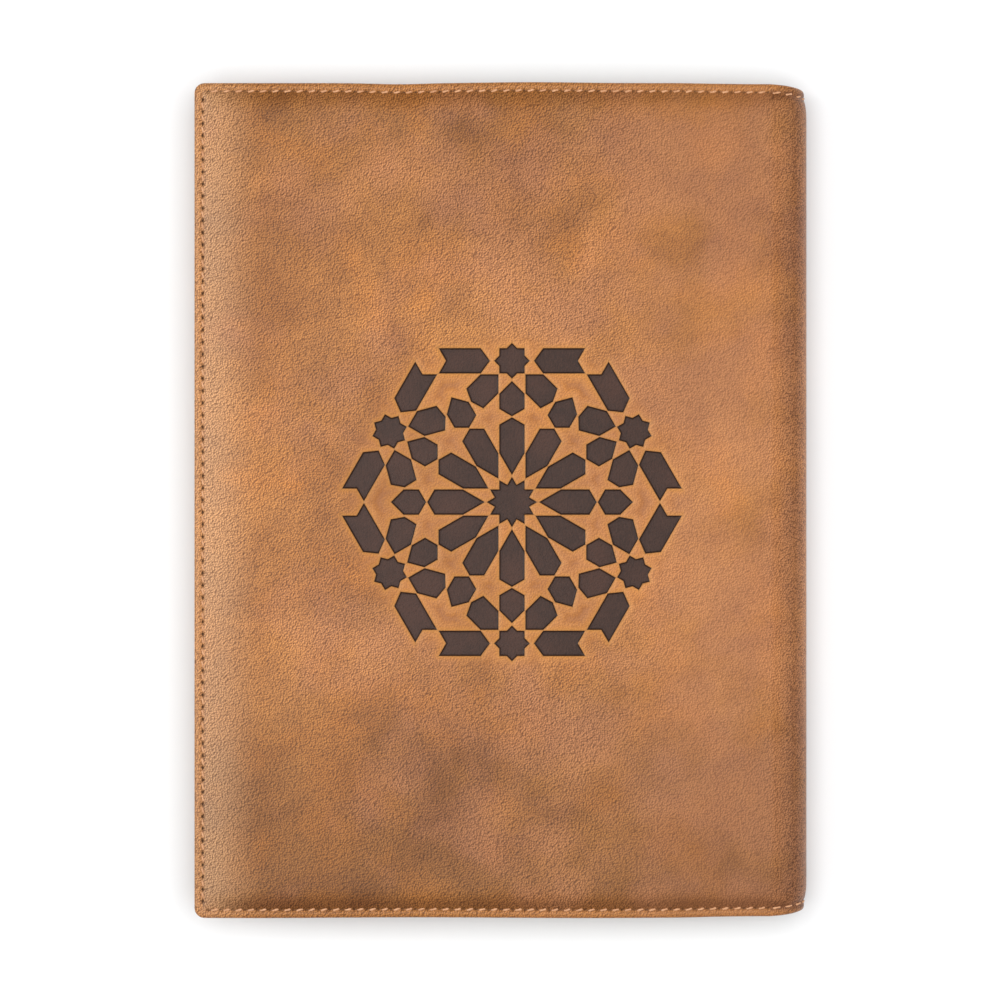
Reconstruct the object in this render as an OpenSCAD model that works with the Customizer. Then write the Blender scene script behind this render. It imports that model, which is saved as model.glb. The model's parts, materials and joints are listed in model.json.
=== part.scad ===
// Leather notebook cover, closed, holding a case-bound A5 notebook in two inner sleeves.
// Lies on its back panel: +X is the spine side, +Y the head of the book, +Z the decorated front.
// Origin: middle of the closed outline, on the surface the cover rests on.

/* [Cover] */
// Width of the closed cover, free edge to spine
cover_w = 161.5; // [154:0.5:172]
// Height of the cover, tail to head
cover_h = 220; // [212:1:232]
// Thickness of the closed cover
cover_t = 20; // [19:0.5:24]
// Radius of the two corners on the free edge
corner_r = 2.6; // [2:0.2:6]

/* [Layers] */
// Thickness of the outer leather
leather_t = 1.2; // [1:0.1:1.6]
// Thickness of the foam-faced board between leather and lining
stiffener_t = 1; // [0.6:0.1:1.2]
// Thickness of the lining cloth
lining_t = 0.4; // [0.3:0.1:0.6]
// Thickness of the sleeve leather
sleeve_t = 0.9; // [0.7:0.1:1.1]
// Width of each inner sleeve, free edge to mouth
sleeve_w = 68; // [55:1:80]

/* [Seam] */
// Distance from the edge to the line of stitches
seam_inset = 2.2; // [1.8:0.1:2.6]
// Width of the flat stitched border
border_w = 3; // [2.8:0.1:3.6]
// Distance from one stitch to the next
stitch_pitch = 3.2; // [2.8:0.1:4]
// Thickness of the sewing thread
thread_d = 0.5; // [0.3:0.05:0.6]

/* [Notebook] */
// Thickness of the notebook's cover boards
board_t = 1.5; // [1:0.1:1.8]
// Gatherings of leaves sewn into the text block
gatherings = 6; // [6:1:6]

/* [Rosette] */
// Half-width of one bar of the rosette, the unit that it is drawn in
bar = 3.44; // [2.8:0.01:3.6]
// Depth that the rosette is pressed into the leather
deboss_depth = 0.45; // [0.2:0.05:0.6]
// How far the rosette's middle lies from the cover's, towards the spine
rosette_shift = 2.8; // [0:0.1:4]
// How far the rosette's middle lies from the cover's, towards the tail
rosette_drop = 0.5; // [0:0.1:4]

/* [Hidden] */
$fn = 48;

tan_colour = "#b47a4b";
lining_colour = "#8a6a4c";
thread_colour = "#d8a878";
card_colour = "#5b4636";
cloth_colour = "#3d3a38";
felt_colour = "#a39a8c";
paper_colour = "#efe6d2";

eps = 0.01;              // lets a cut pass its face
slack = 0.1;             // play between neighbouring layers
fold_gap = 0.15;         // half of the play between two folding strips
fold_angle = 45;         // turn at each of the spine's four folds
turn_in = 0.8;           // how far the lining and sleeve stop short of the leather's edge
stitch_l = 2.5;          // visible length of one stitch
pastedown_t = 0.15;      // endpaper pasted to a board
joint_cloth_t = 0.4;     // cloth joint between a board and the notebook's spine
strip_t = 1.2;           // card strip in the notebook's spine
mull_t = 0.4;            // gauze glued to the folds of the gatherings
headband_d = 1.4;        // woven roll at each end of the text block's back
rosette_play = 0.1;      // leather left standing on each side of a rosette line
slope_l = 8;             // length of the padded panel's slope down to the free edge
slope_s = 2.5;           // the same at head and tail
groove_w = 6.5;          // from the notebook's board edge to the spine fold
block_gap = 0.2;         // play between the text block and the front sleeve

// Depth of each layer below the cover's outer face
lining_d = leather_t + stiffener_t;
pocket_d = lining_d + lining_t;
board_d = pocket_d + slack;
pastedown_d = board_d + board_t;
sleeve_d = pastedown_d + pastedown_t + slack;
block_d = sleeve_d + sleeve_t + 0.02;

// The spine's three strips: the closed cross-section is half of an octagon
strip_l = cover_t / (1 + 2 * sin(fold_angle));
bulge = strip_l * cos(fold_angle);
half_w = cover_w / 2;
half_h = cover_h / 2;
spine_x = half_w - bulge;                 // where the flat panels end and the spine begins
mitre = tan(fold_angle / 2);

// The four folds, in X and Z, from the back panel to the front one
folds = [
    [spine_x, 0],
    [half_w, bulge],
    [half_w, cover_t - bulge],
    [spine_x, cover_t]
];

// Notebook
block_h = cover_h - 15;
block_x0 = -half_w + 8;
block_x1 = spine_x - 0.4;
board_h = cover_h - 10;
board_x0 = -half_w + border_w + sleeve_t + 0.6;
board_x1 = spine_x - groove_w;
block_t = cover_t - 2 * block_d - block_gap;
gathering_t = block_t / gatherings;

// ---------- shared shapes ----------

// Flat panel outline: two round corners on the free edge, square at the spine
module outline(inset, x1) {
    r = max(corner_r - inset, 0.6);
    x0 = -half_w + inset;
    y = half_h - inset;
    for (side = [-1, 1])
        translate([x0 + r, side * (y - r)]) circle(r);
    translate([x0, -(y - r)]) square([x1 - x0, 2 * (y - r)]);
    translate([x0 + r, -y]) square([x1 - x0 - r, 2 * y]);
}

// Plate between two depths below the back panel's outer face
module layer(inset, x1, d0, d1) {
    translate([0, 0, d0]) linear_extrude(d1 - d0) outline(inset, x1);
}

// End of a panel layer at the spine fold, at its deeper face
function panel_end(depth) = spine_x - depth * mitre - fold_gap;

// Turns a shape drawn for the back panel into the front panel's
module front_side() {
    translate([0, 0, cover_t]) mirror([0, 0, 1]) children();
}

// Places a shape drawn along a strip, with its depth upwards, on strip k
module on_strip(k) {
    translate([folds[k][0], 0, folds[k][1]])
        rotate([0, -fold_angle * (k + 1), 0]) children();
}

// Strip k (0 back, 1 middle, 2 front) of the spine between two depths, mitred at its folds
module strip(k, d0, d1, length) {
    on_strip(k)
        translate([0, length / 2, 0])
            rotate([90, 0, 0])
                linear_extrude(length)
                    polygon([
                        [d0 * mitre + fold_gap, d0],
                        [strip_l - d0 * mitre - fold_gap, d0],
                        [strip_l - d1 * mitre - fold_gap, d1],
                        [d1 * mitre + fold_gap, d1]
                    ]);
}

module strip_leather(k) {
    difference() {
        strip(k, 0, leather_t, cover_h);
        on_strip(k)
            for (side = [-1, 1])
                translate([-eps, side * (half_h - seam_inset) - 0.4, -eps])
                    cube([strip_l + 2 * eps, 0.8, thread_d + 0.1]);
    }
}

module strip_lining(k) {
    strip(k, leather_t + 0.02, leather_t + lining_t, cover_h - 2 * turn_in);
}

// ---------- leather, board, lining, sleeve ----------

// Takes the padded panel's three outer edges down to the border
module slopes(from, drop) {
    translate([-half_w + from, 0, drop])
        rotate([0, atan(drop / slope_l), 0])
            translate([-slope_l, -cover_h, -10]) cube([3 * slope_l, 2 * cover_h, 10]);
    for (side = [0, 1])
        mirror([0, side, 0])
            translate([0, -half_h + from, drop])
                rotate([-atan(drop / slope_s), 0, 0])
                    translate([-cover_w, -slope_s, -10]) cube([2 * cover_w, 3 * slope_s, 10]);
}

module panel_leather() {
    difference() {
        union() {
            difference() {
                union() {
                    layer(border_w, panel_end(leather_t), 0, leather_t);
                    layer(border_w, panel_end(lining_d), leather_t, lining_d);
                }
                slopes(border_w, stiffener_t);
            }
            layer(0, panel_end(lining_d), stiffener_t, lining_d);
        }
        difference() {
            layer(border_w + leather_t, panel_end(lining_d) + eps, leather_t, lining_d + eps);
            translate([0, 0, leather_t]) slopes(border_w + leather_t, stiffener_t);
        }
    }
}

module panel_stiffener() {
    difference() {
        layer(border_w + leather_t + slack, spine_x - 3, leather_t + 0.02, lining_d);
        translate([0, 0, leather_t + 0.05]) slopes(border_w + leather_t, stiffener_t);
    }
}

module panel_lining() {
    layer(turn_in, panel_end(pocket_d), lining_d, pocket_d);
}

module panel_sleeve() {
    mouth = -half_w + sleeve_w;
    difference() {
        union() {
            layer(turn_in, mouth, pocket_d, pocket_d + sleeve_t);
            layer(border_w, mouth, pocket_d, sleeve_d + sleeve_t);
        }
        layer(border_w + sleeve_t, mouth + eps, pocket_d - eps, sleeve_d);
    }
}

// ---------- stitching ----------

module stitch_row(length, depth) {
    count = floor(length / stitch_pitch);
    start = -(count - 1) * stitch_pitch / 2;
    for (i = [0 : count - 1])
        translate([start + i * stitch_pitch - stitch_l / 2, 0, depth])
            rotate([0, 90, 0]) cylinder(d = thread_d, h = stitch_l, $fn = 16);
}

// Stitches along head and tail, from x0 to x1
module edge_rows(x0, x1, depth) {
    for (side = [-1, 1])
        translate([(x0 + x1) / 2, side * (half_h - seam_inset), 0])
            stitch_row(x1 - x0, depth);
}

module free_edge_row(depth) {
    translate([-half_w + seam_inset, 0, 0])
        rotate([0, 0, 90]) stitch_row(cover_h - 2 * seam_inset - corner_r, depth);
}

module panel_top_thread() {
    depth = stiffener_t - thread_d / 2 - 0.02;
    free_edge_row(depth);
    edge_rows(-half_w + seam_inset + 1.5, spine_x - 1.5, depth);
}

module panel_bobbin_thread() {
    on_sleeve = pocket_d + sleeve_t + thread_d / 2 + 0.02;
    on_lining = pocket_d + thread_d / 2 + 0.02;
    mouth = -half_w + sleeve_w;
    free_edge_row(on_sleeve);
    edge_rows(-half_w + seam_inset + 1.5, mouth - 0.5, on_sleeve);
    edge_rows(mouth + 0.5, spine_x - 2.5, on_lining);
}

// Stitches across strip k at head and tail: outside in a groove, inside on the lining
module strip_thread(k) {
    inside = leather_t + lining_t + thread_d / 2 + 0.02;
    on_strip(k)
        for (side = [-1, 1], depth = [thread_d / 2 + 0.02, inside], along = [0.32, 0.68])
            translate([strip_l * along - 0.9, side * (half_h - seam_inset), depth])
                rotate([0, 90, 0]) cylinder(d = thread_d, h = 1.8, $fn = 16);
}

// ---------- rosette pressed into the front ----------
// Every outline is drawn in bars, about the rosette's middle, and repeats by turning.

petal_tip = 6.52;        // where a petal meets the hexagon outside it
hexagon_tip = 9.3;       // outer corner of that hexagon
star_at = 10.8;          // middle of each eight-pointed star
kite_foot = 2.18;        // the kite's lowest corner lies on the hexagon's outer line
kite_heel = [3.15, 7.64];
kite_elbow = 3.53;       // the kite's leftmost corner lies on the star's slanting line
arrow_nose = 1.64;
arrow_shoulder = 2.37;

function polar(r, angle) = [r * sin(angle), r * cos(angle)];
function star(points, outer, inner) =
    [for (i = [0 : 2 * points - 1]) polar(i % 2 == 0 ? outer : inner, 180 * i / points)];
function mirrored(half) =
    concat(half, [for (i = [len(half) - 1 : -1 : 0]) if (half[i][0] != 0) [-half[i][0], half[i][1]]]);

// Corner where two lines through p-q and q-r meet once both have moved inwards by d
function corner(p, q, r, d) =
    let (a = (q - p) / norm(q - p), b = (r - q) / norm(r - q),
         na = [a[1], -a[0]], nb = [b[1], -b[0]])
    q + d * (na + nb) / (1 + na * nb);
function shrunk(points, d) =
    [for (i = [0 : len(points) - 1])
        corner(points[(i + len(points) - 1) % len(points)], points[i], points[(i + 1) % len(points)], d)];

petal = mirrored([[0, 2], [-1, 1 / tan(15)], [-1, petal_tip - tan(30)], [0, petal_tip]]);
hexagon = mirrored([[0, petal_tip], [-1, petal_tip + tan(30)], [-1, hexagon_tip - 1], [0, hexagon_tip]]);
kite = [
    [-1, star_at - 1],
    [-1, hexagon_tip - 1],
    [-kite_foot, hexagon_tip - kite_foot],
    [-kite_heel[0], kite_heel[1]],
    [-kite_elbow, star_at + sqrt(2) - kite_elbow],
    [-1 - sqrt(2), star_at - 1]
];
arrow_tail = (star_at - 1) * tan(30);
arrow = [
    [-arrow_nose, star_at],
    [-arrow_shoulder, star_at - 1],
    [-arrow_tail, star_at - 1],
    [-arrow_tail + tan(30), star_at],
    [-arrow_tail, star_at + 1],
    [-arrow_shoulder, star_at + 1]
];

// One pressed shape, its outline running clockwise
module pressed(points) {
    polygon(bar * shrunk(points, rosette_play / bar));
}

module rosette() {
    pressed(star(12, 2, sqrt(2)));
    for (turn = [0 : 30 : 330])
        rotate(turn) {
            pressed(petal);
            pressed(hexagon);
        }
    for (turn = [0 : 60 : 300])
        rotate(turn) {
            translate([0, bar * star_at]) pressed(star(8, sqrt(2), 1 / cos(22.5)));
            for (side = [0, 1])
                mirror([side, 0]) {
                    pressed(kite);
                    pressed(arrow);
                }
        }
}

module front_leather() {
    color(tan_colour)
        difference() {
            front_side() panel_leather();
            translate([rosette_shift, -rosette_drop, cover_t - deboss_depth])
                linear_extrude(deboss_depth + eps) rosette();
        }
}

// ---------- notebook ----------

module notebook_plate(d0, d1, height) {
    translate([board_x0, -height / 2, d0]) cube([board_x1 - board_x0, height, d1 - d0]);
}

module board() {
    color(card_colour) notebook_plate(board_d, pastedown_d, board_h);
}

module pastedown() {
    color(paper_colour) notebook_plate(pastedown_d, pastedown_d + pastedown_t, board_h - 6);
}

// Gathering of folded leaves, with its round fold towards the spine
module gathering(i) {
    r = gathering_t / 2;
    z = block_d + (i - 1) * gathering_t;
    color(paper_colour)
        translate([0, 0, z]) {
            translate([block_x0, -block_h / 2, 0])
                cube([block_x1 - r - block_x0, block_h, gathering_t]);
            translate([block_x1 - r, block_h / 2, r])
                rotate([90, 0, 0]) cylinder(r = r, h = block_h);
        }
}

module mull() {
    color("#e2dccb")
        translate([block_x1 + 0.02, -block_h / 2 + 5, block_d])
            cube([mull_t, block_h - 10, block_t]);
}

module headband(side) {
    color("#7c4a2a")
        translate([block_x1 - headband_d / 2, side * (block_h + headband_d + 0.1) / 2, block_d])
            cylinder(d = headband_d, h = block_t);
}

// The notebook's own case: card strip and cloth joints inside the cover's spine
case_d = leather_t + lining_t + 0.2;

module spine_strip() {
    color(card_colour) strip(1, case_d, case_d + strip_t, board_h);
}

module joint_cloth(k) {
    color(cloth_colour) strip(k, case_d, case_d + joint_cloth_t, board_h);
}

module groove_cloth() {
    x1 = panel_end(board_d + joint_cloth_t);
    color(cloth_colour)
        translate([board_x1 + 0.02, -board_h / 2, board_d])
            cube([x1 - board_x1 - 0.02, board_h, joint_cloth_t]);
}

color(tan_colour) panel_leather();  // back_leather
color(felt_colour) panel_stiffener();  // back_stiffener
color(lining_colour) panel_lining();  // back_lining
color(tan_colour) panel_sleeve();  // back_sleeve
color(thread_colour) panel_top_thread();  // back_top_thread
color(thread_colour) panel_bobbin_thread();  // back_bobbin_thread

front_leather();
color(felt_colour) front_side() panel_stiffener();  // front_stiffener
color(lining_colour) front_side() panel_lining();  // front_lining
color(tan_colour) front_side() panel_sleeve();  // front_sleeve
color(thread_colour) front_side() panel_top_thread();  // front_top_thread
color(thread_colour) front_side() panel_bobbin_thread();  // front_bobbin_thread

color(tan_colour) strip_leather(0);  // spine_leather_back
color(tan_colour) strip_leather(1);  // spine_leather_middle
color(tan_colour) strip_leather(2);  // spine_leather_front
color(lining_colour) strip_lining(0);  // spine_lining_back
color(lining_colour) strip_lining(1);  // spine_lining_middle
color(lining_colour) strip_lining(2);  // spine_lining_front
color(thread_colour) strip_thread(0);  // spine_thread_back
color(thread_colour) strip_thread(1);  // spine_thread_middle
color(thread_colour) strip_thread(2);  // spine_thread_front

board();  // notebook_back_board
front_side() board();  // notebook_front_board
pastedown();  // notebook_back_pastedown
front_side() pastedown();  // notebook_front_pastedown
spine_strip();  // notebook_spine_strip
groove_cloth();  // notebook_groove_back
front_side() groove_cloth();  // notebook_groove_front
joint_cloth(0);  // notebook_joint_back
joint_cloth(2);  // notebook_joint_front

gathering(1);  // gathering_1
gathering(2);  // gathering_2
gathering(3);  // gathering_3
gathering(4);  // gathering_4
gathering(5);  // gathering_5
gathering(6);  // gathering_6
mull();  // spine_mull
headband(1);  // headband_head
headband(-1);  // headband_tail
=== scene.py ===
"""Leather notebook cover: the visible pieces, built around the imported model.

Lengths are in millimetres until a mesh is made.
"""
import json
import math

import bpy
import bmesh
import numpy as np
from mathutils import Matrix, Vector
from mathutils.geometry import delaunay_2d_cdt


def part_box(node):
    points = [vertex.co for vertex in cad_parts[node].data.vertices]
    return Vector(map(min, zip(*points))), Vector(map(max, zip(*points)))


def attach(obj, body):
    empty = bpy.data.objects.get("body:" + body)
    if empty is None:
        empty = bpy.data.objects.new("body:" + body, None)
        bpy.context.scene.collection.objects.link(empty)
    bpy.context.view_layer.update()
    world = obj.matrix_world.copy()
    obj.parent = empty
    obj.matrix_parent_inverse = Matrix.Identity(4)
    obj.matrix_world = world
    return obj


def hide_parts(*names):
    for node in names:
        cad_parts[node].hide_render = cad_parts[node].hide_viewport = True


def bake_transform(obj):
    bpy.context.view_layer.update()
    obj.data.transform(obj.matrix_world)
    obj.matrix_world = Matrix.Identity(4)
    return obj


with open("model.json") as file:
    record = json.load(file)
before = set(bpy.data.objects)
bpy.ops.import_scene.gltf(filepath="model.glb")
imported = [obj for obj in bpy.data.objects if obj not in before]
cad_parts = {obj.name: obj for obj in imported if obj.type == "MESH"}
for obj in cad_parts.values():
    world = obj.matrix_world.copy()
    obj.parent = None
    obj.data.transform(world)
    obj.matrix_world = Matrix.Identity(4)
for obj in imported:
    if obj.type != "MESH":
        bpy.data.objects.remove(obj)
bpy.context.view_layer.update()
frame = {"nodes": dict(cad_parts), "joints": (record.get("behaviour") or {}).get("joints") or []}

MM = 0.001


def box(node):
    low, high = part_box(node)
    return np.array(low) / MM, np.array(high) / MM


# ---------- sizes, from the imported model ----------
LINING_INSET = 0.8                    # from the leather's outline to the lining and the sleeve
HALF_W = LINING_INSET - box("back_lining")[0][0]
HALF_H = box("spine_leather_middle")[1][1]
T = box("front_leather")[1][2]
FOLDS = [np.array(j["pos_m"]) / MM for j in frame["joints"]]
SPINE_R = T / 2                       # the rounded spine touches every strip of the folded one
TANGENT_X = box("spine_leather_middle")[1][0] - SPINE_R
CORNER = 2.6                          # radius of the two free corners
INSET = 2.2                           # edge to stitches
PITCH = 3.2                           # of the stitches
BORDER = 1.0                          # depth of the sewn border below the padded panel
PLATE = box("back_leather")[1][2]     # outer leather and board together
LINING = box("back_lining")[1][2]
MOUTH = box("back_sleeve")[1][0]
SLEEVE_LOW = LINING + 0.9             # the sleeve's face where it is sewn down
SLEEVE_HIGH = box("back_sleeve")[1][2]
HALF_BOOK = 105.0                     # half the notebook case's height

rng = np.random.default_rng(7)


def smooth(t):
    t = np.clip(t, 0.0, 1.0)
    return t * t * (3 - 2 * t)


def bell(x, middle, width):
    return np.exp(-(((x - middle) / width) ** 2))


def make(name, verts, faces, body=None, material=None, stands_for=()):
    """A smooth-shaded mesh object from points in mm; it may ride on a body and stand for nodes."""
    mesh = bpy.data.meshes.new(name)
    mesh.from_pydata((np.asarray(verts, float) * MM).tolist(), [], faces)
    mesh.update()
    mesh.shade_smooth()
    obj = bpy.data.objects.new(name, mesh)
    bpy.context.scene.collection.objects.link(obj)
    if material:
        mesh.materials.append(material)
    if body:
        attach(obj, body)
    if stands_for:
        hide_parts(*stands_for)
    return obj


def weld(obj, distance=0.003):
    """Join points closer than distance, and turn every face outwards."""
    bm = bmesh.new()
    bm.from_mesh(obj.data)
    bmesh.ops.remove_doubles(bm, verts=bm.verts, dist=distance * MM)
    bmesh.ops.recalc_face_normals(bm, faces=bm.faces)
    bm.to_mesh(obj.data)
    bm.free()
    obj.data.shade_smooth()


# ---------- the shape of the leather ----------
def edge_distance(x, y):
    """Distance inwards from the outline, which has no edge at the spine."""
    dx, dy = x + HALF_W, HALF_H - np.abs(y)
    round_part = CORNER - np.hypot(np.maximum(CORNER - dx, 0), np.maximum(CORNER - dy, 0))
    return np.where((dx < CORNER) & (dy < CORNER), round_part, np.minimum(dx, dy))


def ripple(x, y):
    """Soft unevenness of the padded leather, fading out at the edges and at the spine."""
    waves = (
        np.sin(x / 7.3 + 1.1 * np.sin(y / 17.0)) * np.sin(y / 11.0 + 0.9 * np.sin(x / 13.0 + 1.3))
        + 0.7 * np.sin(x / 15.0 - y / 19.0 + 2.0)
        + 0.5 * np.sin(y / 6.1 + 0.6 * np.sin(x / 8.0))
    )
    fade = smooth((TANGENT_X - 4 - x) / 14) * smooth((edge_distance(x, y) - 5) / 12)
    return (0.09 + 0.04 * waves) * fade


def sewn_edge(e):
    """Extra depth by the seam: the groove under the thread and the rounded edge."""
    rounding = 1 - np.sqrt(np.clip(1 - np.clip(1 - e / 1.0, 0, 1) ** 2, 0, 1))
    return 0.2 * bell(e, INSET, 0.5) + 0.7 * rounding


def rise(e, length):
    """From 0 at the seam to 1 on the flat, over length."""
    return 1 - (1 - np.clip((e - INSET - 0.15) / length, 0, 1)) ** 2.3


def panel_depth(x, y):
    """Depth of a panel's outer surface below the cover's outer face."""
    dx, dy = x + HALF_W, HALF_H - np.abs(y)
    height = rise(dx, 10.5) * rise(dy, 5.0)
    return BORDER * (1 - height) + sewn_edge(edge_distance(x, y)) + ripple(x, y)


def spine_border(t):
    """Depth of the border at head and tail, round the spine at angle t."""
    return BORDER * (1 - 0.35 * np.sin(np.radians(np.clip(t, 0, 180))))


def spine_depth(t, y):
    """Depth of the spine's outer surface below its full radius."""
    e = HALF_H - np.abs(y)
    return spine_border(t) * (1 - rise(e, 5.0)) + sewn_edge(e)


def pull_in(points, front):
    """The head and tail edges wave a little, and draw in towards the spine."""
    p = np.array(points, float)
    x, y = p[:, 0], p[:, 1]
    around = np.clip((x - TANGENT_X) / SPINE_R, 0, 1)
    taper = 0.5 * smooth((x - 45) / (TANGENT_X - 45)) + 0.7 * around + 0.9 * around ** 3
    flat = smooth((TANGENT_X - x) / 20)
    if front:
        top = (0.22 - 0.24 * bell(x, 8, 17) + 0.3 * bell(x, -27, 9)) * flat
        tail = (0.1 - 0.1 * np.sin(x / 14.0)) * flat
    else:
        top = (0.12 + 0.12 * np.sin(x / 16.0 + 1)) * flat
        tail = (0.12 + 0.12 * np.sin(x / 13.0)) * flat
    shift = taper + np.where(y > 0, top, tail)
    reach = smooth((np.abs(y) - 84) / (HALF_H - 84))
    p[:, 1] -= np.sign(y) * shift * reach
    return p


def flip(points):
    """From the front cover to the back one."""
    p = np.array(points, float)
    p[:, 2] = T - p[:, 2]
    return p


# ---------- rosette ----------
BAR = 3.44                            # mm in one unit of the outlines below
ROSETTE = np.array([2.8, -0.5])       # its middle on the cover
REACH = 50                            # radius of the finely meshed area round it
SHOULDER, FLOOR = 0.17, 0.26          # depth of the pressed edge, and of the floor below that


def polar(r, angle):
    a = math.radians(angle)
    return (r * math.sin(a), r * math.cos(a))


def star(points, outer, inner):
    return [polar(outer if i % 2 == 0 else inner, 180 * i / points) for i in range(2 * points)]


def mirrored(half):
    """A whole outline from its left half."""
    return half + [(-x, y) for x, y in reversed(half) if x != 0]


def shrunk(points, d):
    """An outline moved inwards by d."""
    p = np.array(points, float)
    a = p - np.roll(p, 1, 0)
    b = np.roll(p, -1, 0) - p
    a /= np.linalg.norm(a, axis=1)[:, None]
    b /= np.linalg.norm(b, axis=1)[:, None]
    na, nb = np.stack([a[:, 1], -a[:, 0]], 1), np.stack([b[:, 1], -b[:, 0]], 1)
    return p + d * (na + nb) / (1 + (na * nb).sum(1))[:, None]


def turned(points, angle, flipped=False):
    """An outline turned anticlockwise about the rosette's middle, and mirrored first if asked."""
    p = np.array(points, float)
    if flipped:
        p = (p * (-1, 1))[::-1]
    c, s = math.cos(math.radians(angle)), math.sin(math.radians(angle))
    return p @ np.array([[c, s], [-s, c]])


def rosette():
    """Outlines of the pressed shapes.

    A star of 12 points, 12 petals, 12 hexagons, six stars of 8 points, 12 kites and 12 arrows.
    """
    tip, far, at = 6.52, 9.3, 10.8
    tan15, tan30 = math.tan(math.radians(15)), math.tan(math.radians(30))
    petal = mirrored([(0, 2), (-1, 1 / tan15), (-1, tip - tan30), (0, tip)])
    hexagon = mirrored([(0, tip), (-1, tip + tan30), (-1, far - 1), (0, far)])
    eight = np.array(star(8, math.sqrt(2), 1 / math.cos(math.radians(22.5)))) + (0, at)
    root2, tail = math.sqrt(2), (at - 1) * tan30
    kite = [
        (-1, at - 1), (-1, far - 1), (-2.18, far - 2.18), (-3.15, 7.64),
        (-3.53, at + root2 - 3.53), (-1 - root2, at - 1)]
    arrow = [
        (-1.64, at), (-2.37, at - 1), (-tail, at - 1), (-tail + tan30, at),
        (-tail, at + 1), (-2.37, at + 1)]
    shapes = [np.array(star(12, 2, root2))]
    for k in range(12):
        shapes += [turned(petal, 30 * k), turned(hexagon, 30 * k)]
    for k in range(6):
        shapes.append(turned(eight, 60 * k))
        for flipped in (False, True):
            shapes += [turned(kite, 60 * k, flipped), turned(arrow, 60 * k, flipped)]
    return [BAR * s for s in shapes]


SHAPES = [shrunk(s, 0.1) + ROSETTE for s in rosette()]


def shape_distance(points):
    """Signed distance to the nearest pressed shape, negative inside it."""
    best = np.full(len(points), 1e9)
    near = np.hypot(*(points - ROSETTE).T) < REACH + 2
    q = points[near]
    found = np.full(len(q), 1e9)
    for shape in SHAPES:
        a, b = shape, np.roll(shape, -1, 0)
        d = b - a
        rel = q[:, None] - a[None]
        t = np.clip((rel * d).sum(2) / (d * d).sum(1), 0, 1)
        gap = np.linalg.norm(rel - t[:, :, None] * d, axis=2).min(1)
        crosses = (a[None, :, 1] > q[:, None, 1]) != (b[None, :, 1] > q[:, None, 1])
        x_at = a[:, 0] + (q[:, None, 1] - a[:, 1]) / np.where(d[:, 1] == 0, 1e-12, d[:, 1]) * d[:, 0]
        inside = (crosses & (q[:, None, 0] < x_at)).sum(1) % 2 == 1
        found = np.minimum(found, np.where(inside, -gap, gap))
    best[near] = found
    return best


def press_depth(distance):
    """How far the leather is pressed in, at a distance from the nearest shape."""
    outside = SHOULDER * np.exp(-np.maximum(distance, 0) / 0.45)
    inside = SHOULDER + FLOOR * smooth(-distance / 0.2)
    return np.where(distance > 0, outside, inside)


# ---------- panels ----------
ROWS = [0, 0.1, 0.25, 0.5, 0.9, 1.4, 1.8, 2.2, 2.6, 3.1, 3.8, 4.6, 5.6, 6.8]   # distances from the edge
GRID_INSET = 8.4                      # where the plain grid takes over from the rows


def path(inset, spacing, x_end):
    """The outline moved inwards, from the tail edge at x_end round to the head edge at x_end."""
    r = max(CORNER - inset, 0)
    x0, y0 = -HALF_W + inset, HALF_H - inset
    points = []
    n = max(2, round((x_end - x0 - r) / spacing))
    points += [(x_end + (x0 + r - x_end) * i / n, -y0) for i in range(n)]
    arc = max(1, round(r * math.pi / 2 / spacing))
    for i in range(arc):
        a = math.pi / 2 * i / arc
        points.append((x0 + r - r * math.sin(a), -y0 + r - r * math.cos(a)))
    n_side = max(2, round(2 * (y0 - r) / spacing))
    points += [(x0, -y0 + r + 2 * (y0 - r) * i / n_side) for i in range(n_side)]
    for i in range(arc):
        a = math.pi / 2 * i / arc
        points.append((x0 + r - r * math.cos(a), y0 - r + r * math.sin(a)))
    points += [(x0 + r + (x_end - x0 - r) * i / n, y0) for i in range(n + 1)]
    return np.array(points)


inner_ys = np.linspace(-(HALF_H - GRID_INSET), HALF_H - GRID_INSET, 86)
YS = np.array(sorted([-(HALF_H - e) for e in ROWS] + list(inner_ys) + [HALF_H - e for e in ROWS]))


def stitch_places(x_end):
    """Middles and directions of the stitches round three sides of a panel."""
    x0, y0 = -HALF_W + INSET, HALF_H - INSET
    places = []
    n = math.floor((2 * y0 - CORNER) / PITCH)
    for i in range(n):
        places.append((x0, (i - (n - 1) / 2) * PITCH, 0, 1))
    n = math.floor((x_end - x0 - 1.5) / PITCH)
    for i in range(n):
        x = x_end - 0.6 - (i + 0.5) * PITCH
        places += [(x, -y0, 1, 0), (x, y0, 1, 0)]
    return np.array(places)


PLACES = stitch_places(TANGENT_X)


def holes():
    """The two needle holes of each stitch, shared with its neighbours."""
    middles, reach = PLACES[:, :2], PLACES[:, 2:] * PITCH / 2
    return np.unique(np.concatenate([middles - reach, middles + reach]).round(3), axis=0)


HOLES = holes()


def hole_depth(x, y):
    """Needle slits, as 1 at their middle: longer along the seam than across it."""
    depth = np.zeros(len(x))
    near = np.flatnonzero(np.abs(edge_distance(x, y) - INSET) < 1.2)
    upright = np.abs(HOLES[:, 0] + HALF_W - INSET) < 0.01
    for i in range(0, len(near), 2000):
        part = near[i:i + 2000]
        dx, dy = x[part, None] - HOLES[:, 0], y[part, None] - HOLES[:, 1]
        along, across = np.where(upright, dy, dx), np.where(upright, dx, dy)
        slit = np.exp(-((along / 0.5) ** 2 + (across / 0.27) ** 2))
        # at head and tail the slits are made 0.55 as deep, and the painted shade in them 0.55 as dark, as
        # up the free edge
        depth[part] = (slit * np.where(upright, 1, 0.55)).max(1)
    return depth


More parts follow.
